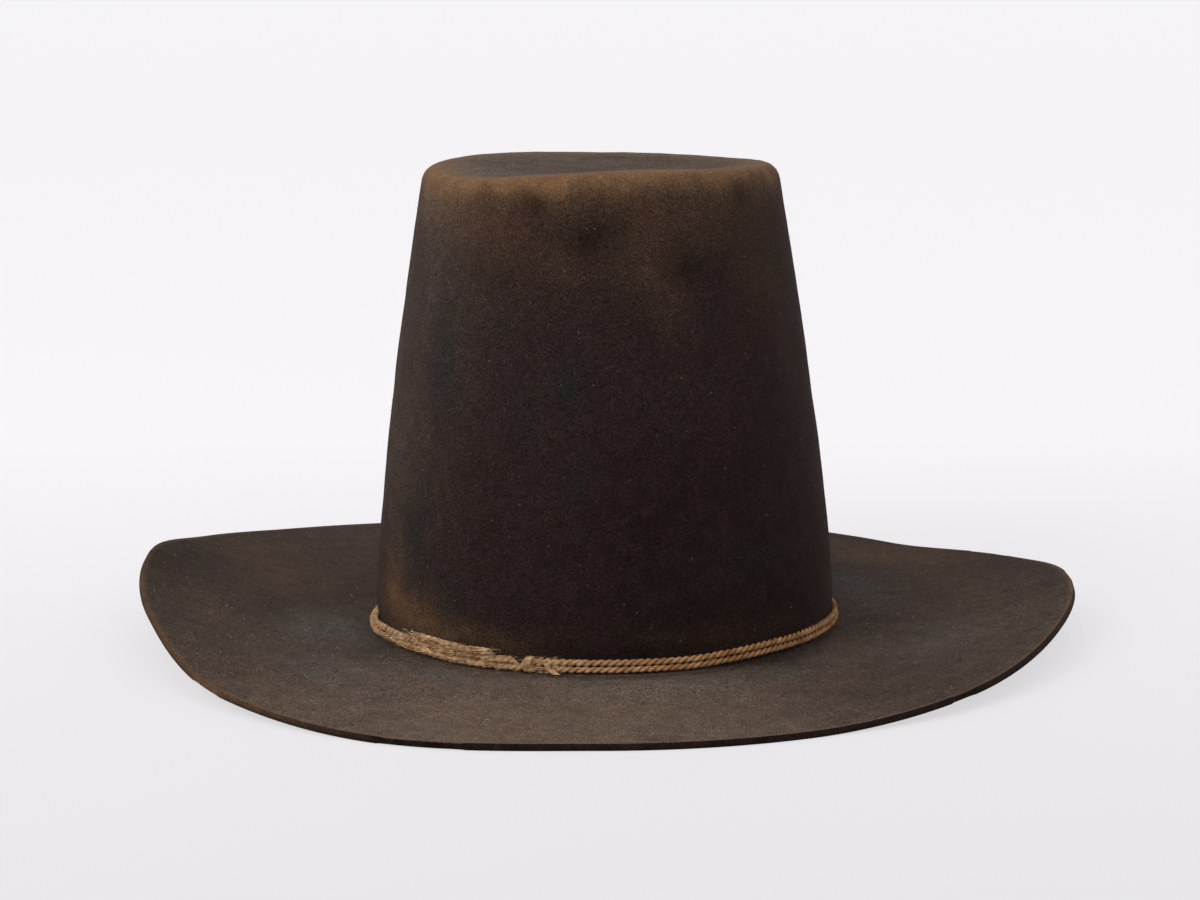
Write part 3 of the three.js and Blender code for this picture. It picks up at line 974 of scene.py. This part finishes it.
    def brim_wear_and_light(self, place: Vector, angle: float, station: float, patch: float) -> list[float]:
        """The amounts on the top of the brim: lightest at the front, from fading and painted light."""
        share = station - self.shape.BRIM
        amounts = self.marked(BRIM_MARKS, place, angle, share, place.xy.length, HUNDREDTH)
        amounts[Tint.FADED.value] += self.faded_and_lit_brim(angle, patch)
        return self.held(amounts)

    def build(self) -> None:
        """Builds the felt and stands it for the frame's node."""
        disc = self.disc()
        self.block(disc)
        self.tint(disc)
        mesh = bpy.data.meshes.new("felt_body")
        disc.to_mesh(mesh)
        disc.free()
        mesh.materials.append(self.felt.material())
        finish_piece("felt", mesh, ["felt_body"])
        self.strew_lint()

    def strew_lint(self) -> None:
        """Lays short fibres of lint on the felt, most on the front left of the brim."""
        rng = random.Random(5)
        strands = []
        while len(strands) < self.lint_count:
            angle = rng.uniform(0, FULL_TURN)
            on_brim = rng.random() < self.lint_share_on_brim
            station = rng.uniform(*(self.lint_on_brim if on_brim else self.lint_on_crown))
            if on_brim and abs(turn_between(angle, self.lint_thickest_at)) > 50 and rng.random() < 0.45:
                continue
            strands.append(self.lint_fibre(angle, station, rng))
        finish_piece("lint", tubes_mesh(strands, 4, [WoolLint().material()]))

    def lint_fibre(self, angle: float, station: float, rng: random.Random) -> Strand:
        """One curved fibre that lies on the felt.

        Args:
            angle: Degrees round the hat where it starts.
            station: The felt's station where it starts.
            rng: The seeded numbers.

        Returns:
            The strand.
        """
        shape = self.shape
        heading = rng.uniform(0, math.tau)
        bend = rng.uniform(-1.4, 1.4)
        lengths_in_mm = (0.4, 0.6, 0.8, 1.2, 2.2) if station > shape.BRIM else (0.3, 0.4, 0.6, 0.8)
        length = rng.choice(lengths_in_mm) * MM
        thick = rng.uniform(0.03, 0.06) * MM
        arch = rng.uniform(0.05, 0.8) * length
        points = []
        for i in range(4):
            inner = shape.inner(angle, station)
            level = shape.wall + self.relief(inner, station) + thick + arch * math.sin(1.05 * i)
            points.append(inner + shape.normal(angle, station) * level)
            turn = heading + bend * i / 3
            angle += math.degrees(math.cos(turn) * length / 3 / max(inner.xy.length, 30 * MM))
            zone_length = (95 if station > shape.BRIM else 165) * MM
            station = min(max(station + math.sin(turn) * length / 3 / zone_length, 1.05), 4.98)
        return Strand(points, [0.6 * thick, thick, thick, 0.5 * thick])


@dataclass(frozen=True)
class Twist:
    """How a two-ply cord is laid up."""

    radius: float = 1.25 * MM
    lay: float = 5.8 * MM
    plies: int = 2
    steps_per_turn: int = 12
    unevenness: float = 0.1

    @property
    def ply_radius(self) -> float:
        """Each ply's own radius."""
        return self.radius * 0.56

    @property
    def helix_radius(self) -> float:
        """How far each ply's middle runs from the cord's middle."""
        return self.radius - self.ply_radius


Route = Callable[[float], Vector]


def route_length(route: Route, steps: int) -> float:
    """A route's length in metres, taken in straight steps."""
    return sum((route((i + 1) / steps) - route(i / steps)).length for i in range(steps))


class Lay(NamedTuple):
    """How a cord's lay is at a share of its length: how loose, and how thick, both from 0 to 1."""

    loose: float = 0.0
    full: float = 1.0


def laid_plies(route: Route, turns: float, twist: Twist, closes: bool, seed: float,
               lay: Callable[[float], Lay] = lambda share: Lay()) -> list[Strand]:
    """The plies of a cord along a route, laid up like the diagonal of a Z.

    Args:
        route: The cord's middle, from a share of its length from 0 to 1.
        turns: How many turns each ply makes.
        twist: The cord's make-up.
        closes: Whether the route comes back to its start.
        seed: Shifts the unevenness.
        lay: How the lay is at a share of the length.

    Returns:
        One strand for each ply.
    """
    steps = max(int(turns * twist.steps_per_turn), 8)
    count = steps if closes else steps + 1
    strands = []
    for ply in range(twist.plies):
        points, radii = [], []
        for step in range(count):
            share = step / steps
            centre = route(share)
            tangent = (route(share + 0.5 / steps) - route(share - 0.5 / steps)).normalized()
            up = Vector((0, 0, 1)) - tangent * tangent.z
            up = up.normalized() if up.length > 1e-3 else Vector((1, 0, 0))
            out = tangent.cross(up)
            state = lay(share)
            spot = Vector((centre.x, centre.y, seed * MM)) / (3 * MM)
            rough = noise.noise(spot + Vector((0, 0, 3 * ply)))
            phase = math.tau * (turns * share + ply / twist.plies) + (0.25 + 0.9 * state.loose) * rough
            helix = twist.helix_radius * state.full * (1 - 0.1 * state.loose)
            points.append(centre + (out * math.cos(phase) + up * math.sin(phase)) * helix)
            radii.append(twist.ply_radius * state.full * (1 + twist.unevenness * rough * (1 + state.loose)))
        strands.append(Strand(points, radii, Shade.TWINE, closes))
    return strands


class Place(NamedTuple):
    """A point of a cord's route: the angle, and mm out from the head oval and up from the headline."""

    at: float
    out: float
    up: float


# How far the band has worked up, in mm; less than 0 where it has slipped down
BAND_LIFT = (
    Row(0, -0.5), Row(20, 0), Row(158, 0), Row(178, -1.8), Row(190, -0.6),
    Row(206, 1.3), Row(221, 1.3), Row(232, 0.5), Row(245, 0), Row(288, 0),
    Row(300, 0.8), Row(314, 1.6), Row(331, 1.6), Row(345, 1),
)


@dataclass
class CordBand:
    """The two cords round the crown's foot, their hitch, tail and frayed strand.

    The finishes are in the order of Shade, and are made when the band is built.
    """

    shape: FeltShape
    twine: BastTwine
    combed: BastTwine
    twist: Twist = Twist()
    lower: Place = Place(0, 3.08, 4.15)
    upper: Place = Place(0, 2.9, 6.55)
    third: Place = Place(0, 3.8, 8.9)
    loose_from: float = 176.0
    loose_to: float = 249.0
    notch_at: float = 250.1
    notch_depth: float = 2.3
    gap_at: float = 255.6
    # Yarns along and across each ring where its lay has opened, and along the third strand
    yarns_along: int = 26
    yarns_across: int = 16
    yarns_on_third: int = 34
    # Stray fibres: all round, on the opened lay, on the third strand, and by the hitch
    fuzz_all_round: int = 3000
    fuzz_on_loose: int = 900
    fuzz_on_third: int = 300
    fuzz_by_hitch: int = 180
    hitch: tuple[Place, ...] = (
        Place(252.9, 3.9, 8.3), Place(252.3, 4.9, 7.9), Place(251.9, 5.3, 6.3), Place(252.0, 5.3, 4.6),
        Place(252.6, 5.2, 3.2),
    )
    tail: tuple[Place, ...] = (
        Place(256.2, 4.4, 6.6), Place(257.1, 5.4, 5.4), Place(258.3, 6.5, 4.0), Place(259.7, 8.2, 3.3),
    )
    frayed: tuple[Place, ...] = (
        Place(217.5, 3.75, 8.7), Place(225.5, 3.8, 9.1), Place(234, 3.8, 9.0), Place(242.5, 3.85, 8.4),
    )
    lift: RoundTable = RoundTable.of(BAND_LIFT)
    finishes: list[bpy.types.Material] = field(default_factory=list)

    def beside(self, angle: float, out: float, up: float) -> Vector:
        """A point of the band, worked up, or slipped down so that the cords lie side by side.

        Args:
            angle: Degrees round the crown.
            out: Metres out from the head oval.
            up: Metres up from the headline.

        Returns:
            The point, in metres.
        """
        lift = self.lift.at(angle)
        slip = max(-lift, 0.0)
        low = 1 - smooth(up, self.lower.up * MM, self.upper.up * MM)
        rise = max(lift, 0.0) - slip * (1 - 0.85 * low)
        return self.shape.beside(angle, out + 0.5 * slip * low, up + rise)

    def looseness(self, angle: float) -> float:
        """How far the lay has opened at an angle, from 0 to 1."""
        opened = smooth(angle, self.loose_from, self.loose_from + 20)
        return opened * (1 - smooth(angle, self.loose_to - 6, self.loose_to + 2))

    def ring_route(self, place: Place) -> Route:
        """The route of a cord that runs right round."""
        def route(share: float) -> Vector:
            """The cord's middle at a share of the way round."""
            angle = (share % 1.0) * FULL_TURN
            slack = self.looseness(angle)
            sway = 0.25 * MM * noise.noise(Vector((angle / 5, place.up, 0)))
            out = place.out * MM + sway * (0.4 + slack)
            up = place.up * MM + 0.6 * sway * (0.3 + slack)
            if place is self.upper:
                dip = bell((angle - self.notch_at) / 1.1)
                up -= self.notch_depth * MM * dip
                out += 0.4 * MM * dip
            return self.beside(angle, out, up)
        return route

    def ring_lay(self, place: Place) -> Callable[[float], Lay]:
        """How the lay is round a ring: loose at the front left, thin in the gap by the tail."""
        def lay(share: float) -> Lay:
            """The lay at a share of the way round."""
            angle = share * FULL_TURN
            at = self.notch_at if place is self.upper else self.gap_at
            thin = 0.45 * bell((angle - at) / 1.3)
            return Lay(self.looseness(angle), 1 - thin)
        return lay

    def open_route(self, places: Sequence[Place]) -> Route:
        """A smooth route through a few places, from the first to the last."""
        points = [self.beside(p.at, p.out * MM, p.up * MM) for p in places]
        points = [points[0] * 2 - points[1], *points, points[-1] * 2 - points[-2]]

        def route(share: float) -> Vector:
            """The strand's middle at a share of its places."""
            along = min(max(share, 0.0), 1.0) * (len(places) - 1)
            i = min(int(along), len(places) - 2)
            t = along - i
            before, start, end, after = points[i:i + 4]
            bend = (2 * before - 5 * start + 4 * end - after) * (t * t)
            turn = (3 * start - before - 3 * end + after) * (t * t * t)
            return 0.5 * (2 * start + (end - before) * t + bend + turn)
        return route

    def ring(self, name: str, place: Place, node: str) -> None:
        """Builds a cord that runs right round the crown."""
        route = self.ring_route(place)
        length = route_length(route, 360)
        turns = round(length / self.twist.lay)
        strands = laid_plies(route, turns, self.twist, True, place.up, self.ring_lay(place))
        rng = random.Random(int(place.up))
        strands += self.yarns(place, self.yarns_along, self.loose_from, self.loose_to, rng)
        strands += self.wandering(self.yarns_across, rng)
        log.info("%s is %.0f mm long", name, length / MM)
        finish_piece(name, tubes_mesh(strands, 6, self.finishes), [node])

    def yarns(self, place: Place, count: int, first: float, last: float,
              rng: random.Random) -> list[Strand]:
        """Loosened yarns that lie along a cord and hide its lay.

        Args:
            place: The cord's middle.
            count: How many yarns.
            first: The angle where they begin.
            last: The angle that none of them passes.
            rng: The seeded numbers.

        Returns:
            The strands.
        """
        strands = []
        for _ in range(count):
            start = rng.uniform(first, last - 5)
            end = min(start + rng.uniform(5, 15), last + rng.uniform(-1.5, 1))
            phase = rng.uniform(-1.1, 1.6)
            drift = rng.uniform(0.8, 2.6)
            stand = rng.uniform(1.0, 1.3)
            thick = rng.uniform(0.07, 0.17) * MM
            points, radii = [], []
            for t in shares(12):
                angle = start + (end - start) * t
                wave = noise.noise(Vector((angle / 1.6, phase * 9, stand * 30)))
                turn = phase + drift * (t - 0.5) + 0.6 * wave
                edge = 1 - abs(2 * t - 1) ** 5
                radius = stand * (0.85 + 0.15 * edge) + 0.2 * wave
                points.append(self.beside(angle, (place.out + radius * math.cos(turn)) * MM,
                                          (place.up + radius * math.sin(turn)) * MM))
                radii.append(thick * (0.45 + 0.55 * edge))
            strands.append(Strand(points, radii, rng.choice((Shade.TWINE, Shade.COMBED, Shade.COMBED))))
        return strands

    def wandering(self, count: int, rng: random.Random) -> list[Strand]:
        """Yarns that wander from one cord to the other where the lay has opened.

        Args:
            count: How many yarns.
            rng: The seeded numbers.

        Returns:
            The strands.
        """
        strands = []
        middle = 0.5 * (self.lower.up + self.upper.up)
        for _ in range(count):
            start = rng.uniform(self.loose_from + 6, self.loose_to - 12)
            reach = rng.uniform(7, 13)
            low, high = sorted((rng.uniform(-2.2, 1.6), rng.uniform(-1.4, 2.2)), key=abs)
            thick = rng.uniform(0.08, 0.2) * MM
            points, radii = [], []
            for t in shares(10):
                angle = start + reach * t
                rise = low + (high - low) * smooth(t, 0.2, 0.8)
                rise += 0.35 * noise.noise(Vector((angle, low * 5, high * 5)))
                bulge = 1.22 - 0.3 * math.cos(math.pi * rise / 1.2) * (abs(rise) < 1.2)
                points.append(self.beside(angle, (self.lower.out + bulge) * MM, (middle + rise) * MM))
                radii.append(thick * (1 - 0.6 * abs(2 * t - 1) ** 4))
            strands.append(Strand(points, radii, rng.choice(tuple(Shade))))
        return strands

    def bundle(self, places: Sequence[Place], count: int, spread: float, fan: float,
               thick: float, rng: random.Random) -> list[Strand]:
        """Yarns side by side through a few places, which fan out towards the end.

        Args:
            places: The middle of the bundle.
            count: How many yarns.
            spread: Half the bundle's width at its start, in mm.
            fan: How much wider its end is than its start.
            thick: A yarn's radius in mm.
            rng: The seeded numbers.

        Returns:
            The strands.
        """
        strands = []
        steps = 14
        degree = math.radians(self.shape.head_half_width / MM)
        for i in range(count):
            side = (2 * i / max(count - 1, 1) - 1) * spread
            stand = rng.uniform(-0.3, 0.3)
            reach = rng.uniform(0.86, 1.0)
            ends = []
            for k, p in enumerate(places):
                wide = side * (1 + (fan - 1) * k / (len(places) - 1)) + rng.uniform(-0.12, 0.12)
                ends.append(Place(p.at + wide / degree, p.out + stand - 0.12 * abs(wide), p.up))
            route = self.open_route(ends)
            points = [route(reach * k / steps) for k in range(steps + 1)]
            narrowing = [1.0] * (steps - 1) + [0.6] * 2
            radii = [thick * MM * rng.uniform(0.85, 1.15) * share for share in narrowing]
            strands.append(Strand(points, radii, Shade.COMBED if i % 3 else Shade.TWINE))
        return strands

    def short_ends(self) -> None:
        """Builds the hitch, the tail and the frayed third strand."""
        rng = random.Random(31)
        hitch = self.bundle(self.hitch, 15, 0.7, 2.6, 0.24, rng)
        finish_piece("hitch_twine", tubes_mesh(hitch, 6, self.finishes), ["hitch_loop"])
        tail = self.bundle(self.tail, 11, 0.6, 1.9, 0.17, rng)
        finish_piece("tail_twine", tubes_mesh(tail, 6, self.finishes), ["cord_tail"])
        route = self.open_route(self.frayed)
        length = route_length(route, 60)
        twist = Twist(radius=1.05 * MM)
        frayed = laid_plies(route, length / twist.lay, twist, False, 9.5, self.frayed_lay)
        first, last = self.frayed[0].at - 3, self.frayed[-1].at + 1
        frayed += self.yarns(self.third, self.yarns_on_third, first, last, rng)
        finish_piece("frayed_twine", tubes_mesh(frayed, 6, self.finishes), ["frayed_end"])

    def frayed_lay(self, share: float) -> Lay:
        """The third strand's lay: loose, and thinned out to both ends."""
        return Lay(1.0, 0.45 + 0.55 * smooth(share, 0, 0.12) * (1 - smooth(share, 0.86, 1.0)))

    def fuzz(self) -> None:
        """Strews stray fibres along the cords, most where the lay has opened."""
        rng = random.Random(11)
        strands = []
        for _ in range(self.fuzz_all_round):
            angle = rng.uniform(0, FULL_TURN)
            slack = self.looseness(angle)
            if rng.random() > 0.35 + 0.65 * slack:
                continue
            place = rng.choice((self.lower, self.upper))
            strands.append(self.fibre(angle, place, rng, 0.9 + 0.7 * slack))
        for _ in range(self.fuzz_on_loose):
            place = rng.choice((self.lower, self.upper))
            strands.append(self.fibre(rng.uniform(self.loose_from, self.loose_to), place, rng, 1.3))
        for _ in range(self.fuzz_on_third):
            strands.append(self.fibre(rng.uniform(215, 245), self.third, rng, 1.4))
        for _ in range(self.fuzz_by_hitch):
            place = Place(0, 4.6, rng.uniform(3.8, 8))
            strands.append(self.fibre(rng.uniform(250.5, 260), place, rng, 1.2))
        finish_piece("cord_fuzz", tubes_mesh(strands, 4, self.finishes))

    def fibre(self, angle: float, place: Place, rng: random.Random, reach: float) -> Strand:
        """One curled fibre that stands off a cord.

        Args:
            angle: Degrees round the crown where it starts.
            place: The cord's middle.
            rng: The seeded numbers.
            reach: How long it is beside the usual.

        Returns:
            The strand.
        """
        around = rng.uniform(-1.1, 1.9)
        radius = 1.15
        start = (place.out + radius * math.cos(around), place.up + radius * math.sin(around))
        length = rng.uniform(0.8, 2.2) * reach
        run = rng.choice((-1, 1)) * rng.uniform(0.5, 1.0) * length
        rise = rng.uniform(0.05, 0.4) * length
        points = []
        for t in (0.0, 0.35, 0.7, 1.0):
            degrees = math.degrees(run * t * MM / self.shape.head_half_width)
            lift = rise * t * t + 0.12 * math.sin(t * 5 + around)
            points.append(self.beside(angle + degrees, (start[0] + math.cos(around) * lift) * MM,
                                      (start[1] + math.sin(around) * lift) * MM))
        thick = rng.uniform(0.04, 0.075) * MM
        return Strand(points, [thick, thick, 0.8 * thick, 0.3 * thick], Shade.COMBED)

    def build(self) -> None:
        """Builds every cord piece."""
        self.finishes = [self.twine.material(), self.combed.material()]
        self.ring("lower_twine", self.lower, "lower_cord")
        self.ring("upper_twine", self.upper, "upper_cord")
        self.short_ends()
        self.fuzz()


@dataclass(frozen=True)
class OpalAcrylic:
    """Opal acrylic sheet of a light table: matt, nearly white, and lit from below.

    The light through it weakens the shadows, and there is more of it towards the back.
    """

    base: str = "#828184"
    glow_front: float = 0.575
    glow_back: float = 0.725
    front: float = -0.4
    back: float = 0.4
    glow: str = "#fffdff"
    roughness: float = 0.9
    ior: float = 1.49

    def material(self) -> bpy.types.Material:
        """Builds the sheet's material."""
        material = empty_material("opal_acrylic")
        tree = material.node_tree
        place = add_node(tree, "ShaderNodeTexCoord")
        depth = add_node(tree, "ShaderNodeSeparateXYZ", links={0: (place, "Object")})
        glow = add_node(tree, "ShaderNodeMapRange",
                        {"From Min": self.front, "From Max": self.back,
                         "To Min": self.glow_front, "To Max": self.glow_back}, {0: (depth, "Y")})
        shader = add_node(tree, "ShaderNodeBsdfPrincipled",
                          {"Base Color": hex_colour(self.base), "Roughness": self.roughness,
                           "IOR": self.ior, "Specular IOR Level": 0.1,
                           "Emission Color": hex_colour(self.glow)},
                          {"Emission Strength": (glow, 0)})
        add_node(tree, "ShaderNodeOutputMaterial", links={"Surface": (shader, 0)})
        return material


@dataclass
class Studio:
    """A pale light table, a soft light, an even room and the camera at the photograph's angle."""

    camera_place: Vector = field(default_factory=lambda: Vector((-3.9, -952.2, 237)) * MM)
    pitch: float = 10.2
    lens: float = 75.0
    sensor: float = 36.0
    table_level: float = -0.2 * MM
    table_radius: float = 600.0
    table_rings: tuple[float, ...] = (520.0, 68.0, 10.0)
    table_segments: int = 96
    key_place: Vector = field(default_factory=lambda: Vector((-1.3, -1.1, 1.2)))
    key_aim: Vector = field(default_factory=lambda: Vector((0, 0, 0.08)))
    key_size: float = 1.0
    key_power: float = 17.0
    key_tone: str = "#fffaf4"
    room_tone: str = "#fbfbff"
    room_glow: float = 0.755
    horizon_glow: float = 0.92

    def camera(self) -> None:
        """Puts the camera where the photograph was taken from."""
        data = bpy.data.cameras.new("camera")
        data.lens = self.lens
        data.sensor_width = self.sensor
        camera = bpy.data.objects.new("camera", data)
        camera.location = self.camera_place
        camera.rotation_euler = (math.radians(90 - self.pitch), 0, 0)
        bpy.context.scene.collection.objects.link(camera)
        bpy.context.scene.camera = camera

    def table(self) -> None:
        """Builds the table's top, so wide that it reaches the horizon, a hair under the felt."""
        sheet = bmesh.new()
        bmesh.ops.create_circle(sheet, cap_ends=True, radius=self.table_radius,
                                segments=self.table_segments)
        sheet.faces.ensure_lookup_table()
        middle = sheet.faces[0]
        for ring in self.table_rings:
            bmesh.ops.inset_region(sheet, faces=[middle], thickness=ring, use_even_offset=True)
        bmesh.ops.translate(sheet, verts=sheet.verts, vec=(0, 0, self.table_level))
        mesh = bpy.data.meshes.new("light_table")
        sheet.to_mesh(mesh)
        sheet.free()
        mesh.materials.append(OpalAcrylic().material())
        table = bpy.data.objects.new("light_table", mesh)
        bpy.context.scene.collection.objects.link(table)
        table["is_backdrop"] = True

    def softbox(self) -> None:
        """Adds the square soft light, at the front left and above."""
        data = bpy.data.lights.new("key_softbox", "AREA")
        data.size = self.key_size
        data.energy = self.key_power
        data.color = hex_colour(self.key_tone)[:3]
        lamp = bpy.data.objects.new("key_softbox", data)
        lamp.location = self.key_place
        lamp.rotation_euler = (self.key_aim - self.key_place).to_track_quat("-Z", "Y").to_euler()
        bpy.context.scene.collection.objects.link(lamp)

    def room(self) -> None:
        """Lights the room evenly, a little brighter at the horizon, so that it meets the table there."""
        world = bpy.data.worlds.new("studio_room")
        world.use_nodes = True
        tree = world.node_tree
        tree.nodes.clear()
        place = add_node(tree, "ShaderNodeTexCoord")
        height = add_node(tree, "ShaderNodeSeparateXYZ", links={0: (place, "Generated")})
        strength = add_node(tree, "ShaderNodeMapRange",
                            {"interpolation_type": "SMOOTHSTEP", "From Min": 0.0, "From Max": 0.12,
                             "To Min": self.horizon_glow, "To Max": self.room_glow}, {0: (height, "Z")})
        room = add_node(tree, "ShaderNodeBackground", {"Color": hex_colour(self.room_tone)},
                        {"Strength": (strength, 0)})
        add_node(tree, "ShaderNodeOutputWorld", links={"Surface": (room, "Background")})
        bpy.context.scene.world = world

    def build(self) -> None:
        """Builds the camera, the table, the soft light and the room."""
        self.camera()
        self.table()
        self.softbox()
        self.room()
        bpy.context.scene.view_settings.view_transform = "Standard"


def main() -> None:
    """Builds the studio and the hat, in order."""
    logging.basicConfig(level=logging.INFO, format="%(name)s %(message)s")
    Studio().build()
    shape = FeltShape()
    FeltBody(shape, FurFelt()).build()
    CordBand(shape, BastTwine(), COMBED_BAST).build()
    boxes = {"cad": [list(corner) for corner in CAD_BOX], "visual": [list(corner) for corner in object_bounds()]}


if __name__ == "__main__":
    main()
